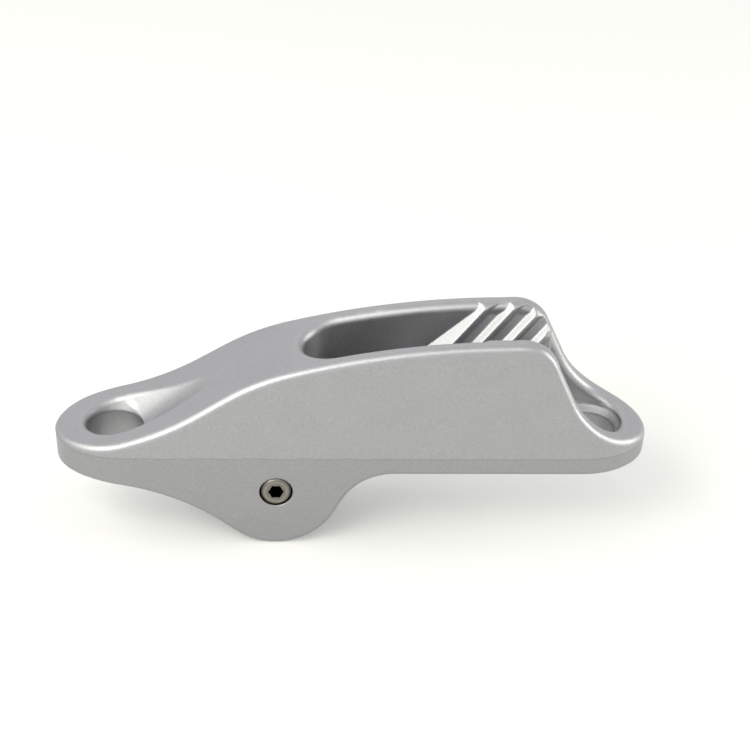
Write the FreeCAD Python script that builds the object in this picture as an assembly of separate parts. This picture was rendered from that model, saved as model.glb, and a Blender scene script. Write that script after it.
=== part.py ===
import FreeCAD, Part
import math
import os

Vector = FreeCAD.Vector

# Millimetres. The origin is on the axis of the anchor eye, at the height where the two mould halves
# met. X runs along the cleat from the anchor eye to the tail eye, Z points up out of the jaws.

# Plan
EYE_SPACING = 86.2
END_REACH = 10.9
BODY_WIDTH = 22.2
END_LENGTH = 12.4
WALL_DRAFT = 3.5

# Upper outline, from the anchor lug up the ramp, over the back and down to the tail lug
ANCHOR_TIP_HEIGHT = 0.6
RAMP_FOOT_X = 6.3
RAMP_FOOT_HEIGHT = 3.3
RAMP_FOOT_RADIUS = 49.0
RAMP_HEAD_X = 25.3
RAMP_HEAD_HEIGHT = 15.4
RAMP_HEAD_RADIUS = 42.0
BACK_X = 49.6
BACK_HEIGHT = 21.9
BACK_RADIUS = 155.0
JAW_CORNER_INSET = 9.2
JAW_CORNER_HEIGHT = 22.7
JAW_CORNER_RADIUS = 6.9
TAIL_FOOT_INSET = 0.9
TAIL_FOOT_HEIGHT = 4.6
TAIL_FOOT_RADIUS = 16.0
TAIL_TIP_HEIGHT = 1.0

# Lower outline: anchor lug, round lobe about the pin, flat base
ANCHOR_BASE_DEPTH = 5.3
TAIL_BASE_DEPTH = 3.5
PIN_X = 29.2
PIN_DEPTH = 7.3
LOBE_RADIUS = 11.5
LOBE_FRONT_ANGLE = 39.0
LOBE_BACK_ANGLE = 62.0
LOBE_FRONT_ROOT_RADIUS = 43.0
LOBE_BACK_ROOT_RADIUS = 10.5

# Rounded upper edges and chamfered lower ones
TOP_EDGE_RADIUS = 1.3
BASE_EDGE_CHAMFER = 0.5
SLOT_LIP_RADIUS = 1.5
LIP_SHARE_OF_LAND = 0.9
ANCHOR_LIP_RADIUS = 1.3

# Eyes: a bore, a cone above it, and a round mouth that runs out through the upper outline
EYE_BORE = 10.4
EYE_SEAT_HEIGHT = 0.3
ANCHOR_CONE_ANGLE = 25.0
ANCHOR_MOUTH_RADIUS = 6.4
ANCHOR_TROUGH_RADIUS = 6.9
ANCHOR_TROUGH_ANGLE = 39.0
TAIL_CONE_ANGLE = 50.0
TAIL_BOWL_RADIUS = 0.9
TAIL_BOWL_LEDGE = 0.05

# Slot for the line. It starts with a round end behind the ramp and ends round the tail eye.
SLOT_START_X = 34.0
SLOT_WIDTH = 13.0
JAW_END_INSET = 6.7
JAW_END_EDGE_RADIUS = 3.0
SLOT_FLOOR_RADIUS = 1.5

# Passage from the slot down through the base
JAW_FLOOR_HEIGHT = 8.0
JAW_FLOOR_START_X = 48.5
JAW_FLOOR_NOSE_RADIUS = 5.0
PASSAGE_EXIT_X = 44.5
PASSAGE_RUN_ON = 1.4

# Jaws: two walls that close to a V, each with slanted ridges
JAW_ANGLE = 12.0
JAW_FLOOR_GAP = 5.6
RIDGE_COUNT = 5
RIDGE_PITCH = 3.9
RIDGE_HEIGHT = 1.1
RIDGE_FLANK = 1.2
RIDGE_SLANT = 49.0
RIDGE_CREST_RADIUS = 0.35
RIDGE_ROOT_RADIUS = 0.6
RIDGE_EDGE_RADIUS = 2.0
RIDGE_TOP_DROP = 0.05
FIRST_RIDGE_X = 67.7
FIRST_RIDGE_HEIGHT = 22.0
JAW_WALL_EMBED = 0.2

# Fork round the pin
FORK_GAP = 8.4
FORK_ARCH_RADIUS = 9.0
FORK_CORNER_RADIUS = 3.0

# Pin with a hexagon socket in one end
PIN_DIAMETER = 5.9
PIN_CLEARANCE = 0.1
PIN_RECESS = 0.1
PIN_CHAMFER = 0.5
SOCKET_ACROSS_FLATS = 2.5
SOCKET_DEPTH = 3.5

# Cutters start or end this far outside the metal
BEYOND = 6.0

# Two points nearer than this count as one
SAME_POINT = 0.001

AXIS_X = Vector(1, 0, 0)
AXIS_Y = Vector(0, 1, 0)
AXIS_Z = Vector(0, 0, 1)
DRAFT_SLOPE = math.tan(math.radians(WALL_DRAFT))
LEFT_LIMIT = -END_REACH - BEYOND
RIGHT_LIMIT = EYE_SPACING + END_REACH + BEYOND
TOP_LIMIT = JAW_CORNER_HEIGHT + BEYOND
BASE_LIMIT = -PIN_DEPTH - LOBE_RADIUS - BEYOND
PIN_CENTRE = Vector(PIN_X, 0, -PIN_DEPTH)
JAW_END_X = EYE_SPACING - JAW_END_INSET


def arc_setbacks(points, radii):
    """How far each corner's arc reaches along its runs; arcs too large for their run share it."""
    count = len(points)
    wanted = []
    for index, radius in enumerate(radii):
        back = points[index - 1] - points[index]
        ahead = points[(index + 1) % count] - points[index]
        wanted.append(radius / math.tan(back.getAngle(ahead) / 2))
    shares = []
    for index in range(count):
        following = (index + 1) % count
        run = points[index].distanceToPoint(points[following])
        shares.append(run / max(run, wanted[index] + wanted[following]))
    return [wanted[index] * min(shares[index - 1], shares[index]) for index in range(count)]


def rounded_wire(corners, origin, across, up):
    """Closed wire through corners (a, b, radius) in one plane, its runs joined by tangent arcs."""
    points = [origin + across * a + up * b for a, b, radius in corners]
    setbacks = arc_setbacks(points, [radius for a, b, radius in corners])
    stretches = []
    for index, setback in enumerate(setbacks):
        corner = points[index]
        if setback == 0:
            stretches.append((corner, None, corner))
            continue
        back = (points[index - 1] - corner).normalize()
        ahead = (points[(index + 1) % len(points)] - corner).normalize()
        half_angle = back.getAngle(ahead) / 2
        radius = setback * math.tan(half_angle)
        inward = (back + ahead).normalize()
        middle = corner + inward * (radius / math.sin(half_angle) - radius)
        stretches.append((corner + back * setback, middle, corner + ahead * setback))
    edges = []
    for index, (start, middle, end) in enumerate(stretches):
        previous_end = stretches[index - 1][2]
        if not previous_end.isEqual(start, SAME_POINT):
            edges.append(Part.makeLine(previous_end, start))
        if middle is not None:
            edges.append(Part.Arc(start, middle, end).toShape())
    return Part.Wire(edges)


def side_prism(corners, half_width):
    """Solid with the given outline in the XZ plane, half_width to each side of the middle."""
    wire = rounded_wire(corners, Vector(0, -half_width, 0), AXIS_X, AXIS_Z)
    return Part.Face(wire).extrude(AXIS_Y * (2 * half_width))


def capsule_wire(left, right, half_width, end_length, z):
    """Outline with straight sides and half an ellipse at each end."""
    left_centre = left + end_length
    right_centre = right - end_length
    edges = []
    ends = ((right_centre, left_centre, 1, -90), (left_centre, right_centre, -1, 90))
    for centre, other, side, first in ends:
        middle = Vector(centre, 0, z)
        if end_length > half_width:
            curve = Part.Ellipse(middle + AXIS_X * end_length, middle + AXIS_Y * half_width, middle)
        else:
            curve = Part.Circle(middle, AXIS_Z, half_width)
        edges.append(Part.Arc(curve, math.radians(first), math.radians(first + 180)).toShape())
        line_start = Vector(centre, side * half_width, z)
        edges.append(Part.makeLine(line_start, Vector(other, side * half_width, z)))
    return Part.Wire(edges)


def drafted_capsule(left, right, half_width, end_length, slope, z_from, z_to):
    """Solid between two capsule outlines; the one at z_to is smaller all round by the slope."""
    inset = slope * abs(z_to - z_from)
    wide = capsule_wire(left, right, half_width, end_length, z_from)
    narrow = capsule_wire(left + inset, right - inset, half_width - inset, end_length - inset, z_to)
    return Part.makeLoft([wide, narrow], True, True)


def lobe_tangent_x(angle, side, z):
    """Where the line that touches the lobe at this angle crosses the height z."""
    angle = math.radians(angle)
    reach = (LOBE_RADIUS + math.cos(angle) * (z + PIN_DEPTH)) / math.sin(angle)
    return PIN_X + side * reach


def lobe_point():
    """Crossing point of the lobe's two flanks, below the lobe."""
    front = math.radians(LOBE_FRONT_ANGLE)
    back = math.radians(LOBE_BACK_ANGLE)
    front_normal = Vector(-math.sin(front), 0, -math.cos(front))
    back_normal = Vector(math.sin(back), 0, -math.cos(back))
    middle = (front_normal + back_normal).normalize()
    distance = LOBE_RADIUS / front_normal.dot(middle)
    return PIN_CENTRE + middle * distance


def upper_corners():
    """Corners of the upper outline, left to right."""
    return [
        (-END_REACH, ANCHOR_TIP_HEIGHT, 0),
        (RAMP_FOOT_X, RAMP_FOOT_HEIGHT, RAMP_FOOT_RADIUS),
        (RAMP_HEAD_X, RAMP_HEAD_HEIGHT, RAMP_HEAD_RADIUS),
        (BACK_X, BACK_HEIGHT, BACK_RADIUS),
        (EYE_SPACING - JAW_CORNER_INSET, JAW_CORNER_HEIGHT, JAW_CORNER_RADIUS),
        (EYE_SPACING - TAIL_FOOT_INSET, TAIL_FOOT_HEIGHT, TAIL_FOOT_RADIUS),
        (EYE_SPACING + END_REACH, TAIL_TIP_HEIGHT, 0),
    ]


def run_on(inner, tip, x):
    """Height at x of the straight line from an inner corner through a tip."""
    slope = (tip[1] - inner[1]) / (tip[0] - inner[0])
    return tip[1] + slope * (x - tip[0])


def body_outline():
    """Side outline of the casting, run past both tips so that the plan shapes the ends."""
    upper = upper_corners()
    front_height = run_on(upper[1], upper[0], LEFT_LIMIT)
    back_height = run_on(upper[-2], upper[-1], RIGHT_LIMIT)
    lobe = lobe_point()
    front_root = lobe_tangent_x(LOBE_FRONT_ANGLE, -1, -ANCHOR_BASE_DEPTH)
    back_root = lobe_tangent_x(LOBE_BACK_ANGLE, 1, -TAIL_BASE_DEPTH)
    return [(LEFT_LIMIT, front_height, 0)] + upper[1:-1] + [
        (RIGHT_LIMIT, back_height, 0),
        (RIGHT_LIMIT, -TAIL_BASE_DEPTH, 0),
        (back_root, -TAIL_BASE_DEPTH, LOBE_BACK_ROOT_RADIUS),
        (lobe.x, lobe.z, LOBE_RADIUS),
        (front_root, -ANCHOR_BASE_DEPTH, LOBE_FRONT_ROOT_RADIUS),
        (LEFT_LIMIT, -ANCHOR_BASE_DEPTH, 0),
    ]


def rim_edges(shape, outline):
    """Edges where the side outline meets the walls, as two lists: upper and lower."""
    upper, lower = [], []
    for edge in shape.Edges:
        start, end = edge.FirstParameter, edge.LastParameter
        points = [edge.valueAt(start + (end - start) * share) for share in (0.2, 0.5, 0.8)]
        flat = [Part.Vertex(point.x, 0, point.z) for point in points]
        if max(outline.distToShape(vertex)[0] for vertex in flat) > SAME_POINT:
            continue
        if abs(points[0].x - points[1].x) < SAME_POINT and abs(points[0].z - points[1].z) < SAME_POINT:
            continue
        if points[1].z > 0:
            upper.append(edge)
        else:
            lower.append(edge)
    return upper, lower


def casting_blank(outline):
    """The outer form: drafted walls above and below the parting height, cut to the side outline."""
    left = -END_REACH
    right = EYE_SPACING + END_REACH
    half = BODY_WIDTH / 2
    above = drafted_capsule(left, right, half, END_LENGTH, DRAFT_SLOPE, 0, TOP_LIMIT)
    below = drafted_capsule(left, right, half, END_LENGTH, DRAFT_SLOPE, 0, BASE_LIMIT)
    walls = above.fuse(below)
    side = side_prism(body_outline(), BODY_WIDTH)
    blank = walls.common(side)
    upper, lower = rim_edges(blank, outline)
    blank = blank.makeFillet(TOP_EDGE_RADIUS, upper)
    upper, lower = rim_edges(blank, outline)
    return blank.makeChamfer(BASE_EDGE_CHAMFER, lower)


def mouth_height(mouth_radius, cone_angle):
    """Height at which the cone above a bore reaches its mouth."""
    rise = (mouth_radius - EYE_BORE / 2) / math.tan(math.radians(cone_angle))
    return EYE_SEAT_HEIGHT + rise


def eye_cutter(x, base, mouth_radius, cone_angle, bowl_radius):
    """Bore, cone and straight round mouth of one eye, with a rounding between cone and mouth."""
    bore = EYE_BORE / 2
    corners = [
        (0, base - BEYOND, 0),
        (bore, base - BEYOND, 0),
        (bore, EYE_SEAT_HEIGHT, 0),
        (mouth_radius, mouth_height(mouth_radius, cone_angle), bowl_radius),
        (mouth_radius, TOP_LIMIT, 0),
        (0, TOP_LIMIT, 0),
    ]
    wire = rounded_wire(corners, Vector(x, 0, 0), AXIS_X, AXIS_Z)
    return Part.Face(wire).revolve(Vector(x, 0, 0), AXIS_Z, 360)


def anchor_cutter():
    """Anchor eye, with the ball-ended trough that climbs from its bore and runs out on the ramp."""
    eye = eye_cutter(0, -ANCHOR_BASE_DEPTH, ANCHOR_MOUTH_RADIUS, ANCHOR_CONE_ANGLE, 0)
    angle = math.radians(ANCHOR_TROUGH_ANGLE)
    along = Vector(math.cos(angle), 0, math.sin(angle))
    out = Vector(-math.sin(angle), 0, math.cos(angle))
    start = Vector(EYE_BORE / 2, 0, EYE_SEAT_HEIGHT) + out * ANCHOR_TROUGH_RADIUS
    length = TOP_LIMIT / math.sin(angle)
    trough = Part.makeCylinder(ANCHOR_TROUGH_RADIUS, length, start, along)
    ball = Part.makeSphere(ANCHOR_TROUGH_RADIUS, start, along)
    return eye.fuse([trough, ball]).removeSplitter()


def tail_mouth_radius():
    """Radius of the tail eye's mouth, just inside the wall of the slot's end."""
    return SLOT_WIDTH / 2 - TAIL_BOWL_LEDGE


def tail_cutter():
    """Tail eye: its bore and the wide bowl above it."""
    mouth_radius = tail_mouth_radius()
    return eye_cutter(EYE_SPACING, -TAIL_BASE_DEPTH, mouth_radius, TAIL_CONE_ANGLE, TAIL_BOWL_RADIUS)


def slot_cutter():
    """Pocket down to the jaw floor, stepping down to the bowl of the tail eye at its far end."""
    turn = math.radians(TAIL_CONE_ANGLE)
    low = mouth_height(tail_mouth_radius(), TAIL_CONE_ANGLE) + TAIL_BOWL_RADIUS * math.tan(turn / 2)
    half = SLOT_WIDTH / 2
    plan = capsule_wire(SLOT_START_X, EYE_SPACING + half, half, half, 0)
    capsule = Part.Face(plan).extrude(AXIS_Z * TOP_LIMIT)
    profile = [
        (SLOT_START_X - BEYOND, TOP_LIMIT, 0),
        (RIGHT_LIMIT, TOP_LIMIT, 0),
        (RIGHT_LIMIT, low, 0),
        (JAW_END_X, low, 0),
        (JAW_END_X, JAW_FLOOR_HEIGHT, JAW_END_EDGE_RADIUS),
        (SLOT_START_X - BEYOND, JAW_FLOOR_HEIGHT, 0),
    ]
    pocket = capsule.common(side_prism(profile, BODY_WIDTH))
    corners = [edge for edge in pocket.Edges if is_mouth_corner(edge)]
    return pocket.makeFillet(SLOT_FLOOR_RADIUS, corners)


def is_mouth_corner(edge):
    """True for the two upright corners below the end of the jaw floor."""
    start, end = edge.Vertexes[0].Point, edge.Vertexes[-1].Point
    upright = Vector(start.x, start.y, end.z).isEqual(end, SAME_POINT)
    return upright and abs(start.x - JAW_END_X) < SAME_POINT


def passage_cutter():
    """Way down from the slot to the fork, narrowing to the fork gap at the height of the pin."""
    half = SLOT_WIDTH / 2
    depth = JAW_FLOOR_HEIGHT + PIN_DEPTH
    slope = (half - FORK_GAP / 2) / depth
    low = JAW_FLOOR_HEIGHT - depth * PASSAGE_RUN_ON
    funnel = drafted_capsule(SLOT_START_X, RIGHT_LIMIT, half, half, slope, JAW_FLOOR_HEIGHT, low)
    profile = [
        (SLOT_START_X - BEYOND, TOP_LIMIT, 0),
        (JAW_END_X, TOP_LIMIT, 0),
        (JAW_END_X, JAW_FLOOR_HEIGHT, 0),
        (JAW_FLOOR_START_X, JAW_FLOOR_HEIGHT, JAW_FLOOR_NOSE_RADIUS),
        (PASSAGE_EXIT_X, -PIN_DEPTH, 0),
        (PASSAGE_EXIT_X, low, 0),
        (SLOT_START_X - BEYOND, low, 0),
    ]
    return funnel.common(side_prism(profile, BODY_WIDTH))


def fork_cutter():
    """Gap between the cheeks: an arch over the pin, open below and towards the passage."""
    left = PIN_X - FORK_ARCH_RADIUS
    top = FORK_ARCH_RADIUS - PIN_DEPTH
    profile = [
        (left, BASE_LIMIT, 0),
        (left, top, FORK_ARCH_RADIUS),
        (PASSAGE_EXIT_X, top, FORK_CORNER_RADIUS),
        (PASSAGE_EXIT_X, BASE_LIMIT, 0),
    ]
    return side_prism(profile, FORK_GAP / 2)


def slot_lip_radius():
    """Radius of the slot's lip, limited by the land between the slot and the wall's rounded edge."""
    land = BODY_WIDTH / 2 - DRAFT_SLOPE * JAW_CORNER_HEIGHT - TOP_EDGE_RADIUS - SLOT_WIDTH / 2
    return min(SLOT_LIP_RADIUS, LIP_SHARE_OF_LAND * land)


def lip_edges(shape, outline):
    """Edges where the slot, the trough and the eye mouths run out through the upper outline."""
    upper, lower = rim_edges(shape, outline)
    reach = max(ANCHOR_MOUTH_RADIUS, SLOT_WIDTH / 2) + slot_lip_radius() / 2
    anchor, slot = [], []
    for edge in upper:
        start, end = edge.FirstParameter, edge.LastParameter
        points = [edge.valueAt(start + (end - start) * share) for share in (0.1, 0.5, 0.9)]
        overrun = [max(0, -point.x, point.x - EYE_SPACING) for point in points]
        if max(math.hypot(x, point.y) for x, point in zip(overrun, points)) > reach:
            continue
        if points[1].x < RAMP_HEAD_X:
            anchor.append(edge)
        else:
            slot.append(edge)
    return anchor, slot


def ridge_profile():
    """Section across the ridges; its left side is the first ridge's flank, run back into the wall."""
    buried = SLOT_WIDTH / 2
    flank_slope = RIDGE_FLANK / RIDGE_HEIGHT
    corners = [(-RIDGE_FLANK - buried * flank_slope, -buried, 0)]
    for number in range(RIDGE_COUNT):
        crest = number * RIDGE_PITCH
        corners.append((crest, RIDGE_HEIGHT, RIDGE_CREST_RADIUS))
        corners.append((crest + RIDGE_FLANK, 0, RIDGE_ROOT_RADIUS))
        if number < RIDGE_COUNT - 1:
            corners.append((crest + RIDGE_PITCH - RIDGE_FLANK, 0, RIDGE_ROOT_RADIUS))
    right = RIDGE_COUNT * RIDGE_PITCH + BEYOND
    return corners + [(right, 0, 0), (right, -buried, 0)]


def crest_plane_y(z):
    """Distance of the far jaw's crests from the middle at a height."""
    return JAW_FLOOR_GAP / 2 + (z - JAW_FLOOR_HEIGHT) * math.tan(math.radians(JAW_ANGLE))


def jaw_block():
    """Space of the far jaw wall, out to the plane of its crests, round at the lip and the open end."""
    low = JAW_FLOOR_HEIGHT - JAW_FLOOR_NOSE_RADIUS
    back = SLOT_WIDTH / 2 + slot_lip_radius() + JAW_WALL_EMBED
    section = [
        (crest_plane_y(low), low, 0),
        (back, low, 0),
        (back, TOP_LIMIT, 0),
        (crest_plane_y(TOP_LIMIT), TOP_LIMIT, 0),
    ]
    wire = rounded_wire(section, Vector(JAW_FLOOR_START_X, 0, 0), AXIS_Y, AXIS_Z)
    block = Part.Face(wire).extrude(AXIS_X * (JAW_END_X - JAW_FLOOR_START_X))
    lowered = side_prism(body_outline(), BODY_WIDTH)
    lowered.translate(AXIS_Z * -RIDGE_TOP_DROP)
    block = block.common(lowered)
    room = back - crest_plane_y(JAW_CORNER_HEIGHT)
    edges = []
    for edge in block.Edges:
        start, end = edge.Vertexes[0].Point, edge.Vertexes[-1].Point
        off_plane = max(abs(point.y - crest_plane_y(point.z)) for point in (start, end))
        inside = max(start.z, end.z) > JAW_FLOOR_HEIGHT and max(start.x, end.x) > JAW_FLOOR_START_X
        if off_plane < SAME_POINT and inside:
            edges.append(edge)
    return block.makeFillet(min(RIDGE_EDGE_RADIUS, room), edges)


def jaw_wall():
    """Far jaw wall with its ridges, whose ends are rounded at the lip and at the open end."""
    tilt = math.radians(JAW_ANGLE)
    slant = math.radians(RIDGE_SLANT)
    up = Vector(0, math.sin(tilt), math.cos(tilt))
    inward = Vector(0, -math.cos(tilt), math.sin(tilt))
    along = AXIS_X * math.cos(slant) + up * math.sin(slant)
    across = AXIS_X * math.sin(slant) - up * math.cos(slant)
    rise = FIRST_RIDGE_HEIGHT - JAW_FLOOR_HEIGHT
    root_y = crest_plane_y(FIRST_RIDGE_HEIGHT) + RIDGE_HEIGHT / math.cos(tilt)
    base = Vector(FIRST_RIDGE_X, root_y, FIRST_RIDGE_HEIGHT)
    below = 2 * rise
    ridges = Part.Face(rounded_wire(ridge_profile(), base - along * below, across, inward))
    return ridges.extrude(along * (below + rise)).common(jaw_block())


def pin_half_length():
    """Half the pin's length: out to the walls at the height of the pin, less the recess."""
    return BODY_WIDTH / 2 - DRAFT_SLOPE * PIN_DEPTH - PIN_RECESS


def pin_hole():
    """Hole for the pin through both cheeks."""
    radius = PIN_DIAMETER / 2 + PIN_CLEARANCE
    start = PIN_CENTRE - AXIS_Y * BODY_WIDTH
    return Part.makeCylinder(radius, 2 * BODY_WIDTH, start, AXIS_Y)


def make_body():
    """The casting: blank, eyes, slot and passage, then the jaw walls, the fork and the pin hole."""
    outline = rounded_wire(body_outline(), Vector(0, 0, 0), AXIS_X, AXIS_Z)
    body = casting_blank(outline)
    body = body.cut(anchor_cutter()).cut(slot_cutter())
    anchor_lips, slot_lips = lip_edges(body, outline)
    body = body.makeFillet(ANCHOR_LIP_RADIUS, anchor_lips)
    anchor_lips, slot_lips = lip_edges(body, outline)
    body = body.makeFillet(slot_lip_radius(), slot_lips)
    body = body.cut(tail_cutter())
    body = body.cut(passage_cutter())
    far_wall = jaw_wall()
    near_wall = far_wall.mirror(Vector(0, 0, 0), AXIS_Y)
    body = body.fuse([far_wall, near_wall])
    body = body.cut(fork_cutter()).cut(pin_hole())
    return body.removeSplitter()


def make_pin():
    """Headless pin with chamfered ends and a hexagon socket at the near end."""
    half = pin_half_length()
    radius = PIN_DIAMETER / 2
    corners = [
        (0, -half, 0),
        (radius - PIN_CHAMFER, -half, 0),
        (radius, PIN_CHAMFER - half, 0),
        (radius, half - PIN_CHAMFER, 0),
        (radius - PIN_CHAMFER, half, 0),
        (0, half, 0),
    ]
    wire = rounded_wire(corners, PIN_CENTRE, AXIS_X, AXIS_Y)
    pin = Part.Face(wire).revolve(PIN_CENTRE, AXIS_Y, 360)
    corner_radius = SOCKET_ACROSS_FLATS / 2 / math.cos(math.pi / 6)
    face_centre = PIN_CENTRE - AXIS_Y * half
    hexagon = []
    for number in range(6):
        angle = math.radians(60 * number)
        hexagon.append((corner_radius * math.cos(angle), corner_radius * math.sin(angle), 0))
    socket = Part.Face(rounded_wire(hexagon, face_centre, AXIS_X, AXIS_Z))
    return pin.cut(socket.extrude(AXIS_Y * SOCKET_DEPTH))


def export(name, shape):
    """Write one piece as parts/NAME.step and print what it measures."""
    solid = shape.Solids[0]
    print(name, "valid", shape.isValid(), "solids", len(shape.Solids), "volume", round(solid.Volume, 1))
    solid.exportStep("parts/" + name + ".step")


os.makedirs("parts", exist_ok=True)
export("cleat_body", make_body())
export("cross_pin", make_pin())
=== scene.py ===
# %% [markdown]
# # A small cast jam cleat
# A jam cleat grips a rope between two toothed walls that close to a V. This one is a single
# aluminium casting with an eye at each end, and a steel pin crosses the lobe under it. The metal
# has no paint, so its look comes from three things: a soft grey colour, a fine blasted grain, and
# wide lamps whose reflections run along the rounded edges.

# %% Load the model
import math

import bpy
import numpy as np
from mathutils import Matrix, Vector


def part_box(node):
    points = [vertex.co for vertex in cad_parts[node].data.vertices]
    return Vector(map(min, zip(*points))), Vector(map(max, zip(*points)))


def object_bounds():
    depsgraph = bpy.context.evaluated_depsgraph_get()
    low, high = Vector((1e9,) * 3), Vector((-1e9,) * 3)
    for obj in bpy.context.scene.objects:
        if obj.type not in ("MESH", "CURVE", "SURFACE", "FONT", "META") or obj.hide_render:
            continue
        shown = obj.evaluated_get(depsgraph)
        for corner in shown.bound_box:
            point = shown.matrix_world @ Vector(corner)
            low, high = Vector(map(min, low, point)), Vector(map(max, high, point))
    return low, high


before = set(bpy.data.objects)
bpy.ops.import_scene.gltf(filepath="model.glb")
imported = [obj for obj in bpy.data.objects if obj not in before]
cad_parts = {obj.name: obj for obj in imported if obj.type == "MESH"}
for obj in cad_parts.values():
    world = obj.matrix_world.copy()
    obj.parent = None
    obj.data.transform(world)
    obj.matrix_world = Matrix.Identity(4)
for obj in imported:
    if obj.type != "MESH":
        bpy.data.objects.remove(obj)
cad_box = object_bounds()
print("model box", [[round(value, 4) for value in corner] for corner in cad_box])

MM = 0.001


# %% [markdown]
# ## Helpers for materials
# Shader colours are linear, and a maker writes them as sRGB hex, so one function turns one into the
# other. A second one adds a node, sets its values and joins its inputs, so that a material reads as
# a list of steps. Blender's noise has a mean of 0.5 and seldom leaves the range below, so a pattern
# is mapped from that range.

# %% Colour and node helpers
NOISE_LOW = 0.3
NOISE_HIGH = 0.7


def linear(hex_colour):
    """Linear RGBA of an sRGB hex colour: each channel c is ((c + 0.055) / 1.055) ** 2.4."""
    code = hex_colour.lstrip("#")
    srgb = np.array([int(code[i:i + 2], 16) for i in (0, 2, 4)]) / 255
    rgb = np.where(srgb <= 0.04045, srgb / 12.92, ((srgb + 0.055) / 1.055) ** 2.4)
    return (*rgb.tolist(), 1.0)


def add(tree, kind, settings=None, **inputs):
    """Add one node. settings are its own attributes; inputs are values, or sockets to link from.

    An input's name has _ for a space, and a number after two underscores picks one by its place.
    """
    node = tree.nodes.new(kind)
    for key, value in (settings or {}).items():
        setattr(node, key, value)
    for key, value in inputs.items():
        name, _, place = key.partition("__")
        socket = node.inputs[int(place)] if place else node.inputs[name.replace("_", " ")]
        if isinstance(value, bpy.types.NodeSocket):
            tree.links.new(value, socket)
        else:
            socket.default_value = value
    return node


def new_material(name):
    """An empty material with its output node, and its tree."""
    material = bpy.data.materials.new(name)
    material.use_nodes = True
    material.node_tree.nodes.clear()
    return material, material.node_tree


# %% [markdown]
# ## Cast aluminium, blasted and clear anodised
# The body is die cast, blasted with fine beads, then clear anodised. To the eye that is a satin
# silver grey: no mirror image, a wide soft highlight on every rounded edge, and a grain of about a
# third of a millimetre. It could be a flat grey with one roughness, but then the big side wall
# looks like plastic. So the grain changes both the tone and the tilt of the surface a little, a
# slow mottle of some millimetres changes tone and roughness. A line runs round the casting where
# the two halves of the mould met. It was ground off, so it is a faint dark band with a low ridge.
# Below it the colour is a shade darker: that is painted shade, for the lower half, which faces
# down and gets less light. Blasting takes the last sharpness off a casting's small edges too.
# They could be rounded in the mesh, but the model's mesh is fixed, so a Bevel node rounds them in
# the shading alone, by half a millimetre.

# %% Sizes of the cast finish
GRAIN = 0.35 * MM
MOTTLE = 6.0 * MM
MOULD_LINE_HALF = 0.35 * MM
MOULD_LINE_WANDER = 0.08 * MM
MOULD_LINE_WAVE = 4.0 * MM
MOULD_LINE_TONE = 0.85
MOULD_LINE_RISE = 0.03 * MM
# painted shade: the colour below the mould line is taken down to this, for the lower half that
# faces down
LOWER_HALF_PAINTED_SHADE = 0.915
GRAIN_RISE = 0.02 * MM
SOFT_EDGE = 0.5 * MM
print("grain mm", GRAIN / MM, "mottle mm", MOTTLE / MM, "mould line mm", 2 * MOULD_LINE_HALF / MM)


# %% Mould line
def mould_line_and_shade_below(tree, place):
    """Two masks: 1 on the plane where the mould halves met, and a painted shade for the half below
    it.

    The distance is the height z plus a small slow noise, so that the line isn't ruler straight.
    The first mask falls smoothly to 0 beside the plane, and the painted shade darkens the colour
    across it.
    """
    height = add(tree, "ShaderNodeSeparateXYZ", Vector=place).outputs["Z"]
    noise = add(tree, "ShaderNodeTexNoise", Vector=place, Scale=1 / MOULD_LINE_WAVE, Detail=2.0)
    wander = add(tree, "ShaderNodeMapRange", Value=noise.outputs["Fac"], From_Min=NOISE_LOW,
                 From_Max=NOISE_HIGH, To_Min=-MOULD_LINE_WANDER, To_Max=MOULD_LINE_WANDER)
    offset = add(tree, "ShaderNodeMath", {"operation": "ADD"}, Value__0=height,
                 Value__1=wander.outputs[0])
    distance = add(tree, "ShaderNodeMath", {"operation": "ABSOLUTE"}, Value=offset.outputs[0])
    line = add(tree, "ShaderNodeMapRange", {"interpolation_type": "SMOOTHSTEP"},
               Value=distance.outputs[0], From_Min=0.0, From_Max=MOULD_LINE_HALF, To_Min=1.0,
               To_Max=0.0)
    # painted shade: the tone falls across the mould line to darken the lower half
    painted_shade_below = add(tree, "ShaderNodeMapRange", Value=offset.outputs[0], From_Min=-MOULD_LINE_HALF,
               From_Max=0.0, To_Min=LOWER_HALF_PAINTED_SHADE, To_Max=1.0)
    return line.outputs[0], painted_shade_below.outputs[0]


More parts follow.
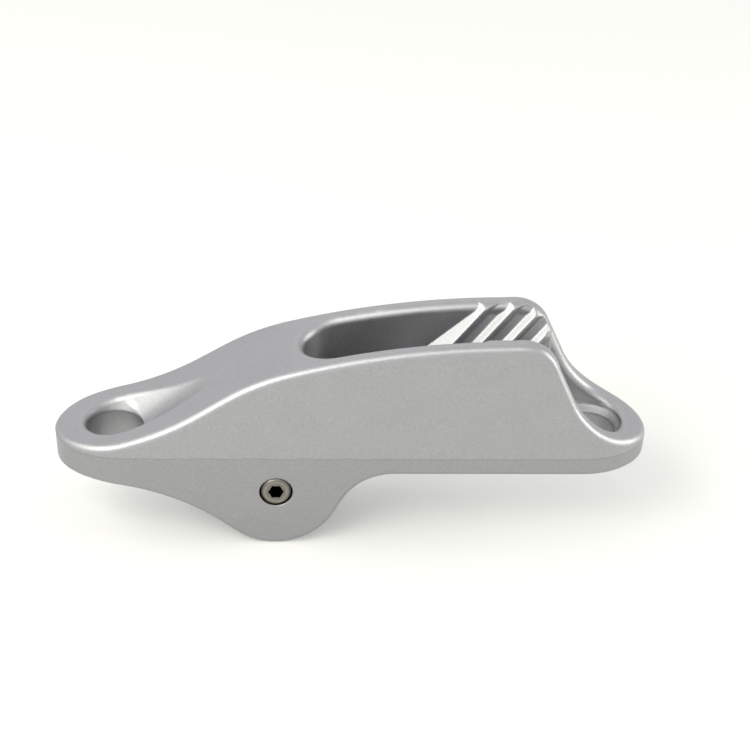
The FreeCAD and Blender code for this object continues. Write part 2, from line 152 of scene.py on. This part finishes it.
# %% Satin aluminium
def satin_aluminium():
    """Metallic shader: tone from noise and a painted shade below the mould line, roughness from
    noise, bump from the grain and the mould line.
    """
    material, tree = new_material("satin_anodised_aluminium")
    place = add(tree, "ShaderNodeTexCoord").outputs["Object"]
    line, painted_shade_below = mould_line_and_shade_below(tree, place)

    mottle = add(tree, "ShaderNodeTexNoise", Vector=place, Scale=1 / MOTTLE, Detail=3.0,
                 Roughness=0.55)
    grain = add(tree, "ShaderNodeTexNoise", Vector=place, Scale=1 / GRAIN, Detail=2.0,
                Roughness=0.6)

    tint = add(tree, "ShaderNodeMix", {"data_type": "RGBA"}, Factor=mottle.outputs["Fac"],
               A__6=linear("#A3A3A6"), B__7=linear("#AAAAAD"))
    speck = add(tree, "ShaderNodeMapRange", Value=grain.outputs["Fac"], From_Min=NOISE_LOW,
                From_Max=NOISE_HIGH, To_Min=0.91, To_Max=1.05)
    band = add(tree, "ShaderNodeMapRange", Value=line, To_Min=1.0, To_Max=MOULD_LINE_TONE)
    tone = add(tree, "ShaderNodeMath", {"operation": "MULTIPLY"}, Value__0=speck.outputs[0],
               Value__1=band.outputs[0])
    # the painted shade of the lower half darkens the colour here
    tone = add(tree, "ShaderNodeMath", {"operation": "MULTIPLY"}, Value__0=tone.outputs[0],
               Value__1=painted_shade_below)
    colour = add(tree, "ShaderNodeVectorMath", {"operation": "SCALE"}, Vector=tint.outputs[2],
                 Scale=tone.outputs[0])
    roughness = add(tree, "ShaderNodeMapRange", Value=mottle.outputs["Fac"], From_Min=NOISE_LOW,
                    From_Max=NOISE_HIGH, To_Min=0.42, To_Max=0.48)

    soft = add(tree, "ShaderNodeBevel", {"samples": 8}, Radius=SOFT_EDGE)
    ridge = add(tree, "ShaderNodeBump", Strength=0.5, Distance=MOULD_LINE_RISE, Height=line,
                Normal=soft.outputs[0])
    grain_bump = add(tree, "ShaderNodeBump", Strength=0.35, Distance=GRAIN_RISE,
                     Height=grain.outputs["Fac"], Normal=ridge.outputs[0])

    shader = add(tree, "ShaderNodeBsdfPrincipled", Base_Color=colour.outputs[0], Metallic=1.0,
                 Roughness=roughness.outputs[0], Normal=grain_bump.outputs[0])
    add(tree, "ShaderNodeOutputMaterial", Surface=shader.outputs[0])
    return material


cleat_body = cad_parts["cleat_body"]
cleat_body.data.materials.clear()
cleat_body.data.materials.append(satin_aluminium())
print("cleat body faces", len(cleat_body.data.polygons))


# %% [markdown]
# ## Turned stainless steel
# The pin is turned from stainless bar and screwed in with a hexagon key. Its end shows fine rings
# round the pin's axis, in a warmer and darker grey than the casting. The bottom of its socket and
# the edge of its ends, where they meet the hole, are painted nearly black: painted shade, for the
# shade down in the socket and in the gap round the pin. The rings could be modelled, but they are
# finer than the mesh, so a wave of the distance from the axis tilts the surface instead. Real tool
# marks are some 0.1 mm apart and wouldn't show in a picture of the whole cleat, so they are drawn
# coarser. Everything is placed by the pin's own box: its middle gives the axis and its lowest y the
# end with the socket.

# %% Sizes of the pin's finish
pin_low, pin_high = (Vector(corner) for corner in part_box("cross_pin"))
PIN_MIDDLE = (pin_low + pin_high) / 2
PIN_RADIUS = (pin_high.x - pin_low.x) / 2
PIN_HALF_LENGTH = (pin_high.y - pin_low.y) / 2
RING_SPACING = 0.8 * MM
RING_RISE = 0.06 * MM
STAIN = 1.2 * MM
# painted shade: how far down the socket and how near the edge of the pin's ends the colour is
# darkened
SOCKET_MOUTH = 0.15 * MM
SOCKET_DARK = 0.9 * MM
SOCKET_END = 4.0 * MM
SOCKET_REACH = 0.55 * PIN_RADIUS
EDGE_SHADE_FROM = 0.86 * PIN_RADIUS
EDGE_SHADE_FULL = 0.96 * PIN_RADIUS
EDGE_SHADE_DEPTH = 0.7 * MM
print("pin radius mm", round(PIN_RADIUS / MM, 3))
print("pin middle mm", [round(value / MM, 2) for value in PIN_MIDDLE])


# %% Pin painted shade
def pin_painted_shade(tree, centred):
    """Painted shade: 0 on the pin's ends, rising to 1 down the socket and at the edge that meets
    the hole.

    The depth is y less the end's y, and the distance is the length of (x, z) from the axis. The
    socket's painted shade ends just past the socket's bottom, so the plain far end stays unshaded,
    and the edge's stops a little way in from each end, so the shaft between the cheeks does too.
    """
    parts = add(tree, "ShaderNodeSeparateXYZ", Vector=centred)
    depth = add(tree, "ShaderNodeMapRange", {"interpolation_type": "SMOOTHSTEP"},
                Value=parts.outputs["Y"], From_Min=SOCKET_MOUTH - PIN_HALF_LENGTH,
                From_Max=SOCKET_DARK - PIN_HALF_LENGTH)
    flat = add(tree, "ShaderNodeCombineXYZ", X=parts.outputs["X"], Z=parts.outputs["Z"])
    distance = add(tree, "ShaderNodeVectorMath", {"operation": "LENGTH"}, Vector=flat.outputs[0])
    inside = add(tree, "ShaderNodeMath", {"operation": "LESS_THAN"},
                 Value__0=distance.outputs["Value"], Value__1=SOCKET_REACH)
    before_end = add(tree, "ShaderNodeMath", {"operation": "LESS_THAN"},
                     Value__0=parts.outputs["Y"], Value__1=SOCKET_END - PIN_HALF_LENGTH)
    hollow = add(tree, "ShaderNodeMath", {"operation": "MULTIPLY"}, Value__0=inside.outputs[0],
                 Value__1=before_end.outputs[0])
    socket = add(tree, "ShaderNodeMath", {"operation": "MULTIPLY"}, Value__0=depth.outputs[0],
                 Value__1=hollow.outputs[0])
    rim = add(tree, "ShaderNodeMapRange", {"interpolation_type": "SMOOTHSTEP"},
              Value=distance.outputs["Value"], From_Min=EDGE_SHADE_FROM, From_Max=EDGE_SHADE_FULL)
    along = add(tree, "ShaderNodeMath", {"operation": "ABSOLUTE"}, Value=parts.outputs["Y"])
    near_end = add(tree, "ShaderNodeMath", {"operation": "GREATER_THAN"}, Value__0=along.outputs[0],
                   Value__1=PIN_HALF_LENGTH - EDGE_SHADE_DEPTH)
    edge = add(tree, "ShaderNodeMath", {"operation": "MULTIPLY"}, Value__0=rim.outputs[0],
               Value__1=near_end.outputs[0])
    # painted shade of the socket and of the edge, whichever is darker
    pin_shade_mask = add(tree, "ShaderNodeMath", {"operation": "MAXIMUM"}, Value__0=socket.outputs[0],
               Value__1=edge.outputs[0])
    return pin_shade_mask.outputs[0]


# %% Stainless pin
def turned_steel():
    """Metallic shader with turned rings, a slow stain, and painted shade in the socket and at the
    edge.
    """
    material, tree = new_material("turned_stainless_steel")
    place = add(tree, "ShaderNodeTexCoord").outputs["Object"]
    centred = add(tree, "ShaderNodeVectorMath", {"operation": "SUBTRACT"}, Vector__0=place,
                  Vector__1=PIN_MIDDLE).outputs[0]

    # a wave's ring repeats every 2 pi / 20 of its scaled distance
    rings = add(tree, "ShaderNodeTexWave", {"wave_type": "RINGS", "rings_direction": "Y"},
                Vector=centred, Scale=math.pi / 10 / RING_SPACING, Distortion=1.2, Detail=2.0)
    stain = add(tree, "ShaderNodeTexNoise", Vector=place, Scale=1 / STAIN, Detail=3.0)

    clean = add(tree, "ShaderNodeMix", {"data_type": "RGBA"}, Factor=stain.outputs["Fac"],
                A__6=linear("#76736C"), B__7=linear("#96928A"))
    groove = add(tree, "ShaderNodeMapRange", Value=rings.outputs["Fac"], To_Min=0.72, To_Max=1.12)
    turned = add(tree, "ShaderNodeVectorMath", {"operation": "SCALE"}, Vector=clean.outputs[2],
                 Scale=groove.outputs[0])
    # painted shade: the socket and the edge of the ends turn nearly black, #171512
    colour = add(tree, "ShaderNodeMix", {"data_type": "RGBA"}, Factor=pin_painted_shade(tree, centred),
                 A__6=turned.outputs[0], B__7=linear("#171512"))
    roughness = add(tree, "ShaderNodeMapRange", Value=stain.outputs["Fac"], From_Min=NOISE_LOW,
                    From_Max=NOISE_HIGH, To_Min=0.24, To_Max=0.36)
    bump = add(tree, "ShaderNodeBump", Strength=0.6, Distance=RING_RISE,
               Height=rings.outputs["Fac"])

    shader = add(tree, "ShaderNodeBsdfPrincipled", Base_Color=colour.outputs[2], Metallic=1.0,
                 Roughness=roughness.outputs[0], Normal=bump.outputs[0])
    add(tree, "ShaderNodeOutputMaterial", Surface=shader.outputs[0])
    return material


cross_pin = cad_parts["cross_pin"]
cross_pin.data.materials.clear()
cross_pin.data.materials.append(turned_steel())
print("cross pin faces", len(cross_pin.data.polygons))


# %% [markdown]
# ## White to look at
# A white background could come from stronger lamps, but they would bleach the cleat as well. So the
# floor and the surroundings are made white only for the rays that look at them, which are the
# camera's, those reflected by the metal and those that would pass through glass. The light that
# they throw on other things stays lower.

# %% Rays that look
def looked_at(tree):
    """1 for a ray that looks at something: the camera's, a reflection's or one through glass."""
    path = add(tree, "ShaderNodeLightPath")
    mirrored = add(tree, "ShaderNodeMath", {"operation": "MAXIMUM"},
                   Value__0=path.outputs["Is Glossy Ray"],
                   Value__1=path.outputs["Is Transmission Ray"])
    seen = add(tree, "ShaderNodeMath", {"operation": "MAXIMUM"}, Value__0=mirrored.outputs[0],
               Value__1=path.outputs["Is Camera Ray"])
    return seen.outputs[0]


# %% [markdown]
# ## Floor
# The cleat stands on a plain pale floor, a matt card. A little light of its own, seen only by the
# rays that look at it, lifts the card to white. The cleat's shadow is in the card's own shading, so
# it stays.

# %% Floor
FLOOR_Z = cad_box[0][2]
FLOOR_HALF = 1.5
FLOOR_LIFT = 0.20


def floor_material():
    """Pale diffuse floor, lifted to white for what looks at it, with the shadow kept."""
    material, tree = new_material("pale_floor")
    card = add(tree, "ShaderNodeBsdfDiffuse", Color=linear("#D8D8D6"))
    strength = add(tree, "ShaderNodeMath", {"operation": "MULTIPLY"}, Value__0=looked_at(tree),
                   Value__1=FLOOR_LIFT)
    lift = add(tree, "ShaderNodeEmission", Color=(1, 1, 1, 1), Strength=strength.outputs[0])
    both = add(tree, "ShaderNodeAddShader", Shader__0=card.outputs[0], Shader__1=lift.outputs[0])
    add(tree, "ShaderNodeOutputMaterial", Surface=both.outputs[0])
    return material


def floor():
    """One large square at the height of the cleat's lowest point."""
    corners = np.array([[-1, -1, 0], [1, -1, 0], [1, 1, 0], [-1, 1, 0]]) * FLOOR_HALF
    corners[:, 2] = FLOOR_Z
    mesh = bpy.data.meshes.new("floor")
    mesh.from_pydata(corners.tolist(), [], [(0, 1, 2, 3)])
    mesh.materials.append(floor_material())
    piece = bpy.data.objects.new("floor", mesh)
    bpy.context.scene.collection.objects.link(piece)


floor()
print("floor at", round(FLOOR_Z, 4))


# %% [markdown]
# ## Lamps and surroundings
# Satin metal shows its surroundings. Small hard lamps would draw thin white lines on every rounded
# edge, so these five are wide, soft and weak, and the white surroundings do most of the work. Each
# stands 700 mm from the cleat and is placed by two angles: how far round it stands from the
# camera's side, and how high. The two on the left light the ridges' flanks and the trough of the
# anchor eye, the front one the near rim and the wall, the low one on the right the end of the jaws,
# and a very weak one behind lifts the flat lands and the eyes' rims a little. Their light is very
# slightly warm.

# %% Lamps
MIDDLE = Vector((43.0, 0.0, 5.0)) * MM
LAMP_DISTANCE = 700.0 * MM
LAMP_SIDE = 400.0 * MM
LAMP_COLOUR = "#FFFEF3"


def lamp(name, round_angle, height_angle, watts):
    """A square lamp at distance d towards (sin a cos h, -cos a cos h, sin h), facing the cleat."""
    a, h = math.radians(round_angle), math.radians(height_angle)
    away = Vector((math.sin(a) * math.cos(h), -math.cos(a) * math.cos(h), math.sin(h)))
    data = bpy.data.lights.new(name, "AREA")
    data.shape = "SQUARE"
    data.size = LAMP_SIDE
    data.energy = watts
    data.color = linear(LAMP_COLOUR)[:3]
    piece = bpy.data.objects.new(name, data)
    piece.location = MIDDLE + away * LAMP_DISTANCE
    piece.rotation_euler = away.to_track_quat("Z", "Y").to_euler()
    bpy.context.scene.collection.objects.link(piece)


lamp("left", -90, 40, 0.9)
lamp("front_left", -45, 40, 2.9)
lamp("front", 0, 40, 0.66)
lamp("right_low", 90, 15, 2.1)
lamp("back", 178, 42, 0.15)
print("lamps", sorted(light.name for light in bpy.data.lights))

# %% Surroundings
SURROUNDINGS = 0.70

world = bpy.data.worlds.new("studio")
bpy.context.scene.world = world
world.use_nodes = True
world.node_tree.nodes.clear()
level = add(world.node_tree, "ShaderNodeMapRange", Value=looked_at(world.node_tree),
            To_Min=SURROUNDINGS, To_Max=1.0)
light = add(world.node_tree, "ShaderNodeBackground", Color=(1, 1, 1, 1),
            Strength=level.outputs[0])
add(world.node_tree, "ShaderNodeOutputWorld", Surface=light.outputs[0])
print("light from the surroundings", SURROUNDINGS)


# %% [markdown]
# ## Camera
# A long lens from 30 degrees above the deck plane, 450 mm away and turned a few degrees, as for a
# product picture. It could be placed by hand, but worked out from its angles, distance and the
# point that it looks at, each of them can be changed alone.

# %% Camera
ELEVATION = math.radians(30.398)
AZIMUTH = math.radians(-3.789)
ROLL = math.radians(2.153)
DISTANCE = 450.0 * MM
LOOK_AT = Vector((47.03, 0.0, 11.087)) * MM
LENS = 119.26
SENSOR_WIDTH = 36.0

backward = Vector((
    math.sin(AZIMUTH) * math.cos(ELEVATION),
    -math.cos(AZIMUTH) * math.cos(ELEVATION),
    math.sin(ELEVATION),
))
level_right = Vector((math.cos(AZIMUTH), math.sin(AZIMUTH), 0.0))
level_up = backward.cross(level_right)
right = level_right * math.cos(ROLL) + level_up * math.sin(ROLL)
up = level_up * math.cos(ROLL) - level_right * math.sin(ROLL)

camera_data = bpy.data.cameras.new("camera")
camera_data.lens = LENS
camera_data.sensor_width = SENSOR_WIDTH
camera = bpy.data.objects.new("camera", camera_data)
turn = Matrix((right, up, backward)).transposed().to_4x4()
camera.matrix_world = Matrix.Translation(LOOK_AT + backward * DISTANCE) @ turn
bpy.context.scene.collection.objects.link(camera)
bpy.context.scene.camera = camera
bpy.context.scene.view_settings.view_transform = "Standard"
print("camera at", [round(value, 3) for value in camera.matrix_world.translation])
